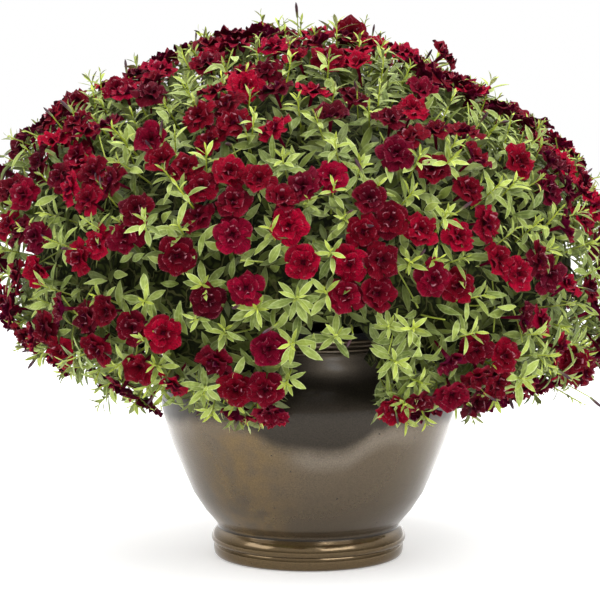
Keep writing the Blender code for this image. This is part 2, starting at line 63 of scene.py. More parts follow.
class Wire:
    # one output of a material's node; an expression on wires adds its Math nodes

    def __init__(self, tree, socket=None):
        self.tree = tree
        self.socket = socket

    def plug(self, value, socket):
        if isinstance(value, Wire):
            self.tree.links.new(value.socket, socket)
        elif isinstance(value, tuple) and socket.type == "RGBA":
            socket.default_value = (*value, 1)
        else:
            socket.default_value = value

    def node(self, kind, settings=None, sockets=None, out=0):
        made = self.tree.nodes.new("ShaderNode" + kind)
        for name, value in (settings or {}).items():
            if name == "stops":
                stops = made.color_ramp.elements
                stops.remove(stops[1])
                for index, (at, colour) in enumerate(value):
                    stop = stops.new(at) if index else stops[0]
                    stop.position = at
                    stop.color = (*colour, 1)
            else:
                setattr(made, name, value)
        for name, value in (sockets or {}).items():
            self.plug(value, made.inputs[name])
        return Wire(self.tree, made.outputs[out])

    def maths(self, operation, *values):
        return self.node("Math", {"operation": operation}, dict(enumerate(values)))

    def __add__(self, other):
        return self.maths("ADD", self, other)

    def __radd__(self, other):
        return self.maths("ADD", other, self)

    def __sub__(self, other):
        return self.maths("SUBTRACT", self, other)

    def __rsub__(self, other):
        return self.maths("SUBTRACT", other, self)

    def __mul__(self, other):
        return self.maths("MULTIPLY", self, other)

    def __rmul__(self, other):
        return self.maths("MULTIPLY", other, self)

    def __abs__(self):
        return self.maths("ABSOLUTE", self)

    def between(self, low, high):
        # 0 at low and 1 at high, smooth between them and flat past them
        settings = {"interpolation_type": "SMOOTHSTEP"}
        return self.node("MapRange", settings, {"Value": self, "From Min": low, "From Max": high})

    def mix(self, share, first, second, way="MIX"):
        settings = {"data_type": "RGBA", "blend_type": way}
        return self.node("Mix", settings, {0: share, 6: first, 7: second}, 2)

    def times(self, red, green, blue):
        # a colour with its red, green and blue multiplied
        factors = self.node("CombineColor", None, {0: red, 1: green, 2: blue})
        return self.mix(1.0, self, factors, "MULTIPLY")

    def parts(self, kind="XYZ"):
        # the three values of a vector, or of a colour
        return [self.node("Separate" + kind, None, {0: self}, index) for index in range(3)]

    def noise(self, place, scale, detail=2.0, distortion=0.0, out=0):
        sockets = {"Vector": place, "Scale": scale, "Detail": detail, "Distortion": distortion}
        return self.node("TexNoise", None, sockets, out)

    def cells(self, place, scale, feature="F1", out="Distance"):
        return self.node("TexVoronoi", {"feature": feature}, {"Vector": place, "Scale": scale}, out)

    def bump(self, strength, distance, height):
        return self.node("Bump", None, {"Strength": strength, "Distance": distance, "Height": height})


def newMaterial(name):
    material = bpy.data.materials.new(name)
    material.use_nodes = True
    tree = material.node_tree
    return material, Wire(tree), tree.nodes["Principled BSDF"]


glazeLook = {
    # the dark colour above the wavy line: partly glaze, partly painted shade
    "upperGlazeAndShade": (0.031, 0.025, 0.018),
    "lower": (0.106, 0.078, 0.047),
    "low": (0.070, 0.050, 0.029),
    "gold": (0.165, 0.104, 0.036),
    "foot": (0.122, 0.080, 0.034),
    # a pale beige for the painted highlight just under the dark zone
    "highlightBeige": (0.230, 0.195, 0.155),
    "pit": (0.012, 0.009, 0.007),
    "line": 0.1330, "wave": 0.0185, "waves": 5.0,
    "goldAt": -0.055, "goldHalf": 0.060,
    # neck and foot heights; the last value is the height of a painted shade line in the groove above the foot
    "neck": (0.190, 0.204), "footTop": 0.030, "grooveShade": 0.0274,
    "metal": 0.60, "roughness": 0.22, "coat": 0.18,
    "rings": Vector((6, 6, 260)),
}


def makeGlaze():
    # dark glaze above a wavy line round the belly, bronze below it; the dark zone is partly the glaze's own
    # colour and partly painted shade, the dark reflection of the mound above it
    material, wire, shader = newMaterial("bronzeGlaze")
    look = glazeLook
    place = wire.node("TexCoord", out="Object")
    across, deep, height = place.parts()
    broad = wire.noise(place, 9.0, 2.0, 0.6)
    fine = wire.noise(place, 55.0, 4.0)
    speckle = wire.noise(place, 900.0, 1.0)
    around = wire.maths("ARCTAN2", deep, across) + math.pi / 2
    wave = wire.maths("COSINE", around * look["waves"]) + wire.maths("COSINE", around * 2)
    line = height + wave.between(-0.7, 1.8) * look["wave"] - look["line"]
    line = line + (broad - 0.5) * 0.022 + (fine - 0.5) * 0.008
    dark = line.between(-0.008, 0.008)
    neck = height.between(*look["neck"])
    foot = (look["footTop"] - height).between(0.0, 0.006)

    colour = wire.mix(height.between(0.030, 0.110), look["low"], look["lower"])
    # painted shade: above the wavy line the colour stands partly for the mound's dark reflection and shadow
    colour = wire.mix(dark * (1 - 0.6 * neck), colour, look["upperGlazeAndShade"])
    warm = abs(across - look["goldAt"]).between(look["goldHalf"], 0.0) * fine.between(0.3, 0.7)
    colour = wire.mix(warm * (1 - dark) * 0.8, colour, look["gold"])
    colour = wire.mix(foot * 0.85, colour, look["foot"])
    # painted highlight: a pale beige band just under the dark zone
    pale = line.between(-0.022, -0.006) * (1 - dark) * broad.between(0.4, 0.6)
    colour = wire.mix(pale * 0.5, colour, look["highlightBeige"])
    grain = speckle + 0.5
    colour = colour.times(grain, grain, grain)
    # painted shade: a dark line in the groove between the body and the foot, in the pit colour
    grooveShade = abs(height - look["grooveShade"]).between(0.0016, 0.0004)
    colour = wire.mix(grooveShade * 0.85, colour, look["pit"])
    pit = (1 - wire.cells(place, 90.0).between(0.06, 0.10)) * fine.between(0.50, 0.56)
    colour = wire.mix(pit * 0.85, colour, look["pit"])
    wire.plug(colour, shader.inputs["Base Color"])

    rough = look["roughness"] + (fine - 0.5) * 0.12 - foot * 0.08 + dark * 0.20
    wire.plug(rough, shader.inputs["Roughness"])
    wire.plug(look["metal"] + dark * 0.3, shader.inputs["Metallic"])
    wire.plug(look["coat"] - foot * 0.10, shader.inputs["Coat Weight"])
    shader.inputs["Coat Roughness"].default_value = 0.10
    stretched = wire.node("VectorMath", {"operation": "MULTIPLY"}, {0: place, 1: look["rings"]})
    rings = wire.noise(stretched, 1.0)
    relief = rings * 0.15 + fine * 0.35 + broad * 1.6 + speckle * 0.02 - pit * 0.6
    wire.plug(wire.bump(0.35, 0.0012, relief), shader.inputs["Normal"])
    return material


def growthInputs(wire):
    # a petal's or leaf's own u and v, and its three tone values
    u, v = wire.node("UVMap", {"uv_map": "petal"}).parts()[:2]
    tone = wire.node("Attribute", {"attribute_name": "tone"}, None, "Color")
    return u, v, *tone.parts("Color")


petalLook = {
    "crimson": (0.190, 0.0006, 0.009),
    "rose": (0.500, 0.0010, 0.030),
    "burgundy": (0.070, 0.0008, 0.007),
    "magenta": (0.190, 0.002, 0.050),
    "under": (0.230, 0.004, 0.068),
    # the pale edge colour is partly the petal's own and partly painted highlight
    "edge": (0.620, 0.160, 0.220),
    "throat": (0.012, 0.0005, 0.003),
    # a light pink for the painted highlight on curled inner petal edges
    "curl": (0.700, 0.300, 0.360),
    "sheen": (0.900, 0.150, 0.250),
}


def makePetalMaterial():
    material, wire, shader = newMaterial("crimsonPetal")
    look = petalLook
    u, v, bright, magenta, inner = growthInputs(wire)
    place = wire.node("TexCoord", out="Object")
    blotch = wire.noise(place, 150.0, 2.0)
    streakAt = wire.node("CombineXYZ", None, {0: u * 9.0, 1: v * 1.3, 2: bright * 7.0})
    streak = wire.noise(streakAt, 3.0, 3.0)
    colour = wire.mix(bright.between(0.0, 0.5), look["burgundy"], look["crimson"])
    colour = wire.mix(bright.between(0.45, 1.0), colour, look["rose"])
    colour = wire.mix(magenta * (0.35 + blotch), colour, look["magenta"])
    colour = wire.mix((streak - 0.42).between(0.0, 0.25) * 0.7, colour, look["burgundy"])
    # pale petal edges: partly the petal's own colour, partly painted highlight where the edges catch the
    # light
    paleEdgeAndHighlight = v.between(0.86, 1.0) * streak.between(0.46, 0.62)
    colour = wire.mix(paleEdgeAndHighlight * (0.34 + 0.60 * inner), colour, look["edge"])
    colour = wire.mix((1 - v.between(0.02, 0.40)) * 0.85, colour, look["throat"])
    # painted highlight: light pink marks where the inner petals' curled edges catch the light
    curl = (inner - 0.6).between(0.0, 0.3) * v.between(0.72, 0.95) * blotch.between(0.50, 0.62)
    colour = wire.mix(curl * 0.75, colour, look["curl"])
    colour = wire.mix(u.between(1.4, 1.6) * 0.7, colour, look["under"])
    wire.plug(colour, shader.inputs["Base Color"])
    shader.inputs["Roughness"].default_value = 0.52
    shader.inputs["Specular IOR Level"].default_value = 0.04
    shader.inputs["Sheen Weight"].default_value = 0.03
    shader.inputs["Sheen Roughness"].default_value = 0.4
    shader.inputs["Sheen Tint"].default_value = (*look["sheen"], 1)
    wire.plug(wire.bump(1.0, 0.0030, streak), shader.inputs["Normal"])
    return material


leafLook = {
    "mature": (0.116, 0.172, 0.020),
    "pale": (0.232, 0.298, 0.062),
    "young": (0.400, 0.470, 0.018),
    # the inner colour is painted shade for leaves deep in the mound
    "inner": (0.092, 0.116, 0.013),
    "edge": (0.520, 0.570, 0.290),
    "rib": (0.330, 0.400, 0.110),
    # a pale film of fine hairs, partly a painted sheen
    "hairFilmAndSheen": (0.400, 0.460, 0.240),
    "under": (0.270, 0.330, 0.120),
}


def makeLeafMaterial():
    material, wire, shader = newMaterial("leafGreen")
    look = leafLook
    u, v, young, chance, inner = growthInputs(wire)
    mottle = wire.noise(wire.node("TexCoord", out="Object"), 260.0, 3.0)
    colour = wire.mix(chance.between(0.1, 0.9), look["mature"], look["pale"])
    colour = wire.mix(young, colour, look["young"])
    colour = wire.mix(u.between(1.4, 1.6) * 0.8, colour, look["under"])
    # a pale film of fine hairs mixed in by noise, partly a painted sheen
    colour = wire.mix(mottle.between(0.45, 0.75) * (1 - young) * 0.35, colour, look["hairFilmAndSheen"])
    out = abs(u - 0.5) * 2.0
    colour = wire.mix(out.between(0.66, 1.0) * (0.35 + chance * 0.45), colour, look["edge"])
    colour = wire.mix((1 - out.between(0.0, 0.16)) * 0.6, colour, look["rib"])
    level = (mottle - 0.5) * 0.7 + 0.70 + chance * 0.60
    colour = colour.times(level, level, level * 0.92)
    # painted shade: leaves deep in the mound are mixed towards the dark inner colour
    colour = wire.mix(inner, colour, look["inner"])
    wire.plug(colour, shader.inputs["Base Color"])
    shader.inputs["Roughness"].default_value = 0.48
    shader.inputs["Specular IOR Level"].default_value = 0.35
    slanted = wire.node("CombineXYZ", None, {0: out * -0.5 + v * 3.2})
    vein = wire.node("TexWave", None, {"Vector": slanted, "Scale": 3.0, "Distortion": 0.5}, "Fac")
    wire.plug(wire.bump(0.35, 0.0006, vein * 0.5 + mottle), shader.inputs["Normal"])
    return material


innerLook = {
    # dark colours of painted shade inside the mound
    "deep": (0.010, 0.012, 0.004),
    "leaf": (0.070, 0.090, 0.018),
    "twig": (0.150, 0.150, 0.050),
    "bent": Vector((0.02, 0.02, 0.02)),
    "leafScale": 115.0, "twigScale": 48.0,
}


def makeInnerMaterial():
    # dense inner growth: overlapping small leaves and thin twigs, darkened with painted shade
    material, wire, shader = newMaterial("shadedInnerGrowth")
    look = innerLook
    place = wire.node("TexCoord", out="Object")
    drift = wire.noise(place, 60.0, out="Color")
    bent = wire.node("VectorMath", {"operation": "MULTIPLY_ADD"}, {0: drift, 1: look["bent"], 2: place})
    chance = wire.cells(bent, look["leafScale"], out="Color").parts("Color")[0]
    edges = wire.cells(bent, look["leafScale"], "DISTANCE_TO_EDGE")
    lines = wire.cells(bent, look["twigScale"], "DISTANCE_TO_EDGE")
    # painted shade: near-black between the painted leaves
    colour = wire.mix(edges.between(0.0, 0.30) * chance, look["deep"], look["leaf"])
    colour = wire.mix((1 - lines.between(0.02, 0.05)) * 0.5, colour, look["twig"])
    wire.plug(colour, shader.inputs["Base Color"])
    shader.inputs["Roughness"].default_value = 0.85
    shader.inputs["Specular IOR Level"].default_value = 0.1
    wire.plug(wire.bump(1.0, 0.004, edges * 0.7 + chance * 0.6), shader.inputs["Normal"])
    return material


budStops = (
    (0.0, (0.20, 0.26, 0.07)), (0.28, (0.10, 0.08, 0.03)),
    (0.5, (0.045, 0.006, 0.014)), (1.0, (0.030, 0.004, 0.016)),
)


def makeBudMaterial():
    # green at its foot, dark red to its tip
    material, wire, shader = newMaterial("darkBud")
    v = growthInputs(wire)[1]
    mottle = wire.noise(wire.node("TexCoord", out="Object"), 400.0)
    colour = wire.node("ValToRGB", {"stops": budStops}, {0: v + (mottle - 0.5) * 0.2})
    wire.plug(colour, shader.inputs["Base Color"])
    shader.inputs["Roughness"].default_value = 0.5
    wire.plug(wire.bump(0.4, 0.0005, mottle), shader.inputs["Normal"])
    return material


soilLook = {
    "dark": (0.010, 0.007, 0.005),
    "brown": (0.060, 0.036, 0.020),
    "chip": (0.130, 0.078, 0.042),
}


def makeSoilMaterial():
    material, wire, shader = newMaterial("pottingSoil")
    place = wire.node("TexCoord", out="Object")
    crumb = wire.noise(place, 320.0, 4.0)
    chip = wire.cells(place, 170.0, out="Color").parts("Color")[0]
    colour = wire.mix(crumb.between(0.35, 0.7), soilLook["dark"], soilLook["brown"])
    colour = wire.mix(chip.between(0.8, 0.95) * 0.7, colour, soilLook["chip"])
    wire.plug(colour, shader.inputs["Base Color"])
    shader.inputs["Roughness"].default_value = 0.92
    wire.plug(wire.bump(0.9, 0.002, crumb), shader.inputs["Normal"])
    return material


glaze = makeGlaze()
petalMaterial = makePetalMaterial()
leafMaterial = makeLeafMaterial()
budMaterial = makeBudMaterial()
innerMaterial = makeInnerMaterial()
soilMaterial = makeSoilMaterial()
print("materials made")


# Modelling helpers

def editItem(item):
    bpy.ops.object.select_all(action="DESELECT")
    bpy.context.view_layer.objects.active = item
    item.select_set(True)
    bpy.ops.object.mode_set(mode="EDIT")


def selectWhere(item, test):
    # selects the vertices that pass the test, in edit mode
    bpy.ops.mesh.select_mode(type="VERT")
    bpy.ops.mesh.select_all(action="DESELECT")
    bm = bmesh.from_edit_mesh(item.data)
    for vert in bm.verts:
        vert.select = test(vert.co)
    bm.select_flush(True)
    bmesh.update_edit_mesh(item.data)


def modelBlade(name, columns, rows, widths, tipDrop=0.0, thick=0.03, ruffle=0.0):
    # a thin closed blade, 1 long, from a grid: two skins that meet all round its edge
    bpy.ops.mesh.primitive_grid_add(
        x_subdivisions=columns, y_subdivisions=rows, size=1, location=(0, 0.5, 0)
    )
    item = bpy.context.object
    item.name = name
    bpy.ops.object.transform_apply(location=True)
    editItem(item)
    for row, width in enumerate(widths):
        at = row / rows
        selectWhere(item, lambda co: abs(co.y - at) < 0.001)
        bpy.ops.transform.resize(value=(width, 1, 1), center_override=(0, at, 0))
    bpy.ops.mesh.select_all(action="SELECT")
    bpy.ops.mesh.extrude_region_move(TRANSFORM_OT_translate={"value": (0, 0, 0)})
    bm = bmesh.from_edit_mesh(item.data)
    for vert in bm.verts:
        row = round(vert.co.y * rows)
        half = widths[row] / 2
        middle = abs(vert.co.x) < half * 0.98 and 0 < row < rows
        if vert.select and middle:
            vert.co.z += thick
        if ruffle and row >= rows - 1:
            column = round((vert.co.x / max(half, 0.001) + 1) / 2 * columns)
            vert.co.z += ruffle * (1 if column % 2 else -1) * (1.0 if row == rows else 0.4)
        if tipDrop and row >= rows - 1:
            away = abs(vert.co.x / max(half, 0.001))
            vert.co.y -= tipDrop * away ** 2.2 * (1.0 if row == rows else 0.35)
    bmesh.update_edit_mesh(item.data)
    bpy.ops.mesh.select_all(action="SELECT")
    bpy.ops.mesh.remove_doubles(threshold=0.0001)
    bpy.ops.mesh.normals_make_consistent(inside=False)
    bpy.ops.object.mode_set(mode="OBJECT")
    return item


def shapeOf(item):
    # a modelled shape as arrays, ready to be copied; the underside's u is moved up by 2
    mesh = item.data
    points = np.array([vert.co for vert in mesh.vertices])
    faces = [list(face.vertices) for face in mesh.polygons]
    layer = mesh.uv_layers.active.data
    uvs = []
    for face in mesh.polygons:
        shift = 2.0 if face.normal.z < -0.02 else 0.0
        uvs += [(layer[loop].uv[0] + shift, layer[loop].uv[1]) for loop in face.loop_indices]
    bpy.data.objects.remove(item)
    return {"points": points, "faces": faces, "uvs": np.array(uvs)}


class Bunch:
    # copies of the modelled shapes that make one piece

    def __init__(self):
        self.points, self.faces, self.uvs, self.tones, self.kinds = [], [], [], [], []
        self.count = 0

    def add(self, shape, points, tone, kind=0):
        self.points.append(points)
        self.faces += [[self.count + corner for corner in face] for face in shape["faces"]]
        self.uvs.append(shape["uvs"])
        self.tones.append(np.tile((*tone, 1.0), (len(points), 1)))
        self.kinds += [kind] * len(shape["faces"])
        self.count += len(points)

    def piece(self, name, materials):
        mesh = bpy.data.meshes.new(name)
        mesh.from_pydata(np.concatenate(self.points).tolist(), [], self.faces)
        mesh.uv_layers.new(name="petal").data.foreach_set("uv", np.concatenate(self.uvs).ravel())
        tone = mesh.attributes.new("tone", "FLOAT_COLOR", "POINT")
        tone.data.foreach_set("color", np.concatenate(self.tones).ravel())
        for material in materials:
            mesh.materials.append(material)
        mesh.polygons.foreach_set("material_index", self.kinds)
        mesh.validate()
        mesh.shade_smooth()
        mesh.set_sharp_from_angle(angle=math.radians(60))
        item = bpy.data.objects.new(name, mesh)
        bpy.context.scene.collection.objects.link(item)
        return item


# Shape of the mound, the same as the frame's

moundShape = {
    "radius": 0.262, "middle": 0.285, "top": 0.187, "drop": 0.132,
    "hemRadius": 0.160, "hemFullness": 3.0, "hemEnd": 2.08, "riseLeft": 0.036, "riseRight": 0.014,
    "lumpSpread": 0.068,
    "lumps": (
        (180, 0.88, 0.028), (0, 0.42, -0.027), (-62, 0.95, 0.010), (-128, 1.12, 0.012), (-95, 0.55, -0.008),
        (60, 0.60, 0.014), (118, 0.98, 0.012), (92, 0.38, -0.010), (12, 1.50, 0.022), (-150, 0.45, -0.008),
    ),
    "parting": math.radians(-85), "partingHalf": math.radians(6.5), "partingFade": math.radians(9),
    "partingEnd": 1.20,
    "crownEnd": 0.46, "sectors": 6,
}
sectorAngle = 2 * math.pi / moundShape["sectors"]


def meridian(place):
    shape = moundShape
    angle = place * math.pi / 2
    if place <= 1:
        return shape["radius"] * math.sin(angle), shape["middle"] + shape["top"] * math.cos(angle)
    angle -= math.pi / 2
    power = 2 / shape["hemFullness"]
    reach = math.copysign(abs(math.cos(angle)) ** power, math.cos(angle))
    radius = shape["hemRadius"] + (shape["radius"] - shape["hemRadius"]) * reach
    return radius, shape["middle"] - shape["drop"] * math.sin(angle) ** power


def outward(place):
    low, high = meridian(max(place - 0.01, 0)), meridian(place + 0.01)
    along = Vector((high[0] - low[0], high[1] - low[1])).normalized()
    return -along.y, along.x


def roundPoint(azimuth, radius, height):
    return Vector((radius * math.cos(azimuth), radius * math.sin(azimuth), height))


def lumpHeight(azimuth, place):
    here = roundPoint(azimuth, *meridian(place))
    total = 0.0
    for degrees, lumpAt, height in moundShape["lumps"]:
        away = (here - roundPoint(math.radians(degrees), *meridian(lumpAt))).length
        total += height * math.exp(-((away / moundShape["lumpSpread"]) ** 2) / 2)
    return total


def moundPoint(azimuth, place, depth=0.0):
    radius, height = meridian(place)
    across, up = outward(place)
    raised = lumpHeight(azimuth, place) - depth
    if place > 1:
        side = math.cos(azimuth)
        rise = moundShape["riseLeft"] if side < 0 else moundShape["riseRight"]
        height += rise * (side * math.sin((place - 1) * math.pi / 2)) ** 2
    return roundPoint(azimuth, radius + across * raised, height + up * raised)


def moundNormal(azimuth, place):
    place = max(place, 0.03)
    around = moundPoint(azimuth + 0.03, place) - moundPoint(azimuth - 0.03, place)
    down = moundPoint(azimuth, place + 0.03) - moundPoint(azimuth, place - 0.03)
    return down.cross(around).normalized()


def hemPlace(azimuth):
    shape = moundShape
    away = abs((azimuth - shape["parting"] + math.pi) % (2 * math.pi) - math.pi)
    share = min(max((away - shape["partingHalf"]) / shape["partingFade"], 0), 1)
    share = share * share * (3 - 2 * share)
    return shape["partingEnd"] + (shape["hemEnd"] - shape["partingEnd"]) * share


def randomPlace(rng, margin=0.04):
    while True:
        azimuth = rng.uniform(-math.pi, math.pi)
        place = rng.uniform(0, moundShape["hemEnd"])
        stretch = 1.0 if place <= 1 else 0.55
        if rng.random() * moundShape["radius"] > meridian(place)[0] * stretch:
            continue
        if place < hemPlace(azimuth) - margin:
            return azimuth, place


def ownerOf(azimuth, place):
    # the leafy stem that a place on the mound belongs to; the last one is the crown
    if place < moundShape["crownEnd"]:
        return moundShape["sectors"]
    return int((azimuth % (2 * math.pi)) // sectorAngle)


def ownerAt(point):
    # the same for a point outside the mound
    inCrown = math.hypot(point.x, point.y) < meridian(moundShape["crownEnd"])[0]
    if inCrown and point.z > moundShape["middle"]:
        return moundShape["sectors"]
    return int((math.atan2(point.y, point.x) % (2 * math.pi)) // sectorAngle)


# Where the flowers stand, by the frame's own rule and seed

layout = {
    "seed": 11, "clusters": 50, "blooms": 220, "clusterApart": 0.080,
    "step": (0.0250, 0.0275), "clear": 0.0348, "placeStep": 0.02,
}


def layOutBlooms(rng):
    clusters = []
    tries = 0
    while len(clusters) < layout["clusters"]:
        tries += 1
        spot = randomPlace(rng)
        point = moundPoint(*spot)
        apart = layout["clusterApart"] * (1 if tries < 4000 else 0.9)
        if all((point - cluster[0][1]).length > apart for cluster in clusters):
            clusters.append([(spot, point)])
    count = len(clusters)
    nearest, furthest = layout["step"]
    for _ in range(60000):
        if count >= layout["blooms"]:
            break
        own = rng.choice(clusters)
        spot, point = rng.choice(own)
        turn = rng.uniform(-math.pi, math.pi)
        step = rng.uniform(nearest, furthest)
        radius = max(meridian(spot[1])[0], 0.02)
        azimuth = spot[0] + step * math.cos(turn) / radius
        ahead = moundPoint(spot[0], spot[1] + layout["placeStep"])
        place = abs(spot[1] + step * math.sin(turn) * layout["placeStep"] / (ahead - point).length)
        if place > hemPlace(azimuth) - 0.04 or len(own) > 6:
            continue
        new = moundPoint(azimuth, place)
        if not nearest < (new - point).length < furthest:
            continue
        if any((new - other[1]).length < nearest for other in own):
            continue
        others = [bloom for cluster in clusters if cluster is not own for bloom in cluster]
        if any((new - other[1]).length < layout["clear"] for other in others):
            continue
        own.append(((azimuth, place), new))
        count += 1
    return clusters


# Modelled shapes that are copied

def modelStem():
    # a unit stem, 4-sided and closed, in 4 lengths
    bpy.ops.mesh.primitive_cylinder_add(vertices=4, radius=1, depth=1, location=(0, 0, 0.5))
    item = bpy.context.object
    bpy.ops.object.transform_apply(location=True)
    editItem(item)
    for at in (0.25, 0.5, 0.75):
        bpy.ops.mesh.select_all(action="SELECT")
        bpy.ops.mesh.bisect(plane_co=(0, 0, at), plane_no=(0, 0, 1))
    bpy.ops.object.mode_set(mode="OBJECT")
    return item


def modelBud():
    # a pointed bud, 1 long, standing on its own short stalk end
    bpy.ops.mesh.primitive_cone_add(vertices=6, radius1=0.10, radius2=0.02, depth=1, location=(0, 0, 0.5))
    item = bpy.context.object
    bpy.ops.object.transform_apply(location=True)
    editItem(item)
    for at in (0.2, 0.45, 0.7, 0.88):
        bpy.ops.mesh.select_all(action="SELECT")
        bpy.ops.mesh.bisect(plane_co=(0, 0, at), plane_no=(0, 0, 1))
    for at, width in ((0.2, 1.3), (0.45, 2.0), (0.7, 3.0), (0.88, 2.9)):
        selectWhere(item, lambda co: abs(co.z - at) < 0.01)
        bpy.ops.transform.resize(value=(width, width, 1), center_override=(0, 0, at))
    bpy.ops.object.mode_set(mode="OBJECT")
    for layer in item.data.uv_layers:
        for loop in item.data.loops:
            layer.data[loop.index].uv = (0.5, item.data.vertices[loop.vertex_index].co.z)
    return item


leafShape = shapeOf(modelBlade("leaf", 2, 5, (0.05, 0.20, 0.34, 0.37, 0.26, 0.0), thick=0.016))
sepalShape = shapeOf(modelBlade("sepal", 2, 3, (0.10, 0.16, 0.12, 0.0), thick=0.02))
petalShape = shapeOf(modelBlade("petal", 5, 4, (0.16, 0.52, 0.84, 1.0, 0.84), 0.22, 0.03, 0.025))
innerShape = shapeOf(modelBlade("innerPetal", 4, 3, (0.20, 0.62, 0.95, 0.80), 0.20, 0.04, 0.05))
stemShape = shapeOf(modelStem())
budShape = shapeOf(modelBud())
print("leaf, petal, stem and bud modelled")


def bladePoints(shape, base, along, up, length, width, droop, fold=0.0):
    # lays a blade from its base, arched down towards its tip and folded along its middle
    side = along.cross(up).normalized()
    up = side.cross(along)
    x, y, z = shape["points"].T
    droop = droop if abs(droop) > 0.01 else 0.01
    run = np.sin(droop * y) / droop
    fall = (1 - np.cos(droop * y)) / droop
    high = (z + fold * np.abs(x) - fall) * length
    return (
        np.array(base)
        + np.outer(x * width, side)
        + np.outer(run * length, along)
        + np.outer(high, up)
    )


def stemPoints(start, bend, end, thick, thin):
    # a stem along a smooth bow from start to end
    x, y, z = stemShape["points"].T
    along = (end - start).normalized()
    side = along.orthogonal().normalized()
    other = along.cross(side)
    keep = (1 - z)[:, None]
    go = z[:, None]
    line = np.array(start) * keep**2 + 2 * np.array(bend) * keep * go + np.array(end) * go**2
    radius = thick + (thin - thick) * z
    return line + np.outer(x * radius, side) + np.outer(y * radius, other)


# Flowers

bloomLook = {
    "whorls": (
        {"shape": petalShape, "count": 5, "length": 0.0158, "width": 0.0165, "tilt": 0.22, "curl": -0.50,
         "ruffle": 0.17, "shut": 0.9, "bright": 1.0, "inner": 0.0, "rise": 0.0},
        {"shape": petalShape, "count": 5, "length": 0.0118, "width": 0.01239, "tilt": 0.72, "curl": -0.80,
         "ruffle": 0.27, "shut": 0.54, "bright": 1.0, "inner": 0.5, "rise": 0.0006},
        {"shape": innerShape, "count": 4, "length": 0.0082, "width": 0.00779, "tilt": 1.20, "curl": -0.70,
         "ruffle": 0.30, "shut": 0.0, "bright": 0.9, "inner": 1.0, "rise": 0.0004},
    ),
    "throat": 0.0012, "lean": 0.42, "tube": 0.020, "tubeFoot": 0.0010, "tubeTop": 0.0026,
    "sepal": 0.013, "extras": 210, "apart": 0.0215,
}


def addWhorl(bunch, rng, whorl, frameOf, size, shut, tone):
    # one ring of petals, each curled back along its length and ruffled at its edge
    count = whorl["count"]
    turn = rng.random()
    x, y, z = whorl["shape"]["points"].T
    for index in range(count):
        around = 2 * math.pi * (index + turn) / count + rng.uniform(-0.12, 0.12)
        long = whorl["length"] * size * rng.uniform(0.92, 1.07)
        wide = whorl["width"] * size * rng.uniform(0.9, 1.1)
        start = whorl["tilt"] + whorl["shut"] * shut + rng.uniform(-0.14, 0.14)
        bend = whorl["curl"] + rng.uniform(-0.3, 0.3)
        bend = bend if abs(bend) > 0.05 else 0.05
        phase = rng.uniform(0, 6.3)
        angle = start + bend * y
        run = (np.sin(angle) - math.sin(start)) / bend
        lift = (math.cos(start) - np.cos(angle)) / bend
        skin = z + whorl["ruffle"] * y**2 * np.sin(phase + x * rng.uniform(6, 10))
        ahead = (run - np.sin(angle) * skin) * long + bloomLook["throat"]
        high = (lift + np.cos(angle) * skin) * long + whorl["rise"]
        side = x * wide
        flat = np.stack([
            ahead * math.cos(around) - side * math.sin(around),
            ahead * math.sin(around) + side * math.cos(around),
            high,
        ], axis=1)
        bright = min(max(tone[0] * whorl["bright"] + rng.uniform(-0.12, 0.12), 0), 1)
        points = flat @ frameOf[:3, :3].T + frameOf[:3, 3]
        bunch.add(whorl["shape"], points, (bright, tone[1], whorl["inner"]))


def bloomPlace(rng, azimuth, place, lift):
    normal = moundNormal(azimuth, place)
    lean = Vector([rng.uniform(-bloomLook["lean"], bloomLook["lean"]) for _ in range(3)])
    point = moundPoint(azimuth, place) + normal * (lift + rng.uniform(-0.002, 0.002))
    return point, (normal + lean + Vector((0, 0, 0.10))).normalized()


def addBloom(bunch, rng, point, axis, spread=1.0):
    # a double flower: outer petals, a second whorl and a small curled one round the throat
    look = bloomLook
    frameOf = np.array(Matrix.Translation(point) @ axis.to_track_quat("Z", "Y").to_matrix().to_4x4())
    tone = (rng.betavariate(2.2, 2.2), rng.random() ** 4 * 0.28)
    size = rng.uniform(0.92, 1.04)
    for whorl in look["whorls"]:
        addWhorl(bunch, rng, whorl, frameOf, size, 1 - spread, tone)
    foot = point - axis * look["tube"]
    bend = point - axis * look["tube"] * 0.4
    top = point + axis * 0.0006
    tube = stemPoints(foot, bend, top, look["tubeFoot"], look["tubeTop"])
    bunch.add(stemShape, tube, (0.3, 0.5, 0.0))
    for index in range(4):
        around = index * math.pi / 2 + rng.uniform(-0.3, 0.3)
        out = Vector(frameOf[:3, :3] @ np.array((math.cos(around), math.sin(around), 0)))
        along = (out * 0.75 + axis * 0.55).normalized()
        points = bladePoints(sepalShape, foot, along, axis, look["sepal"], look["sepal"], 0.5)
        bunch.add(sepalShape, points, (0.25, rng.random(), 0.15), 1)


rng = random.Random(layout["seed"])
clusters = layOutBlooms(rng)
bloomPoints = [point for cluster in clusters for _, point in cluster]
print(len(bloomPoints), "flowers laid out")


def nearestCluster(point):
    near = [min((point - other[1]).length for other in cluster) for cluster in clusters]
    return near.index(min(near))


# Single blooms, buds and sprigs that stand out of the mound's outline

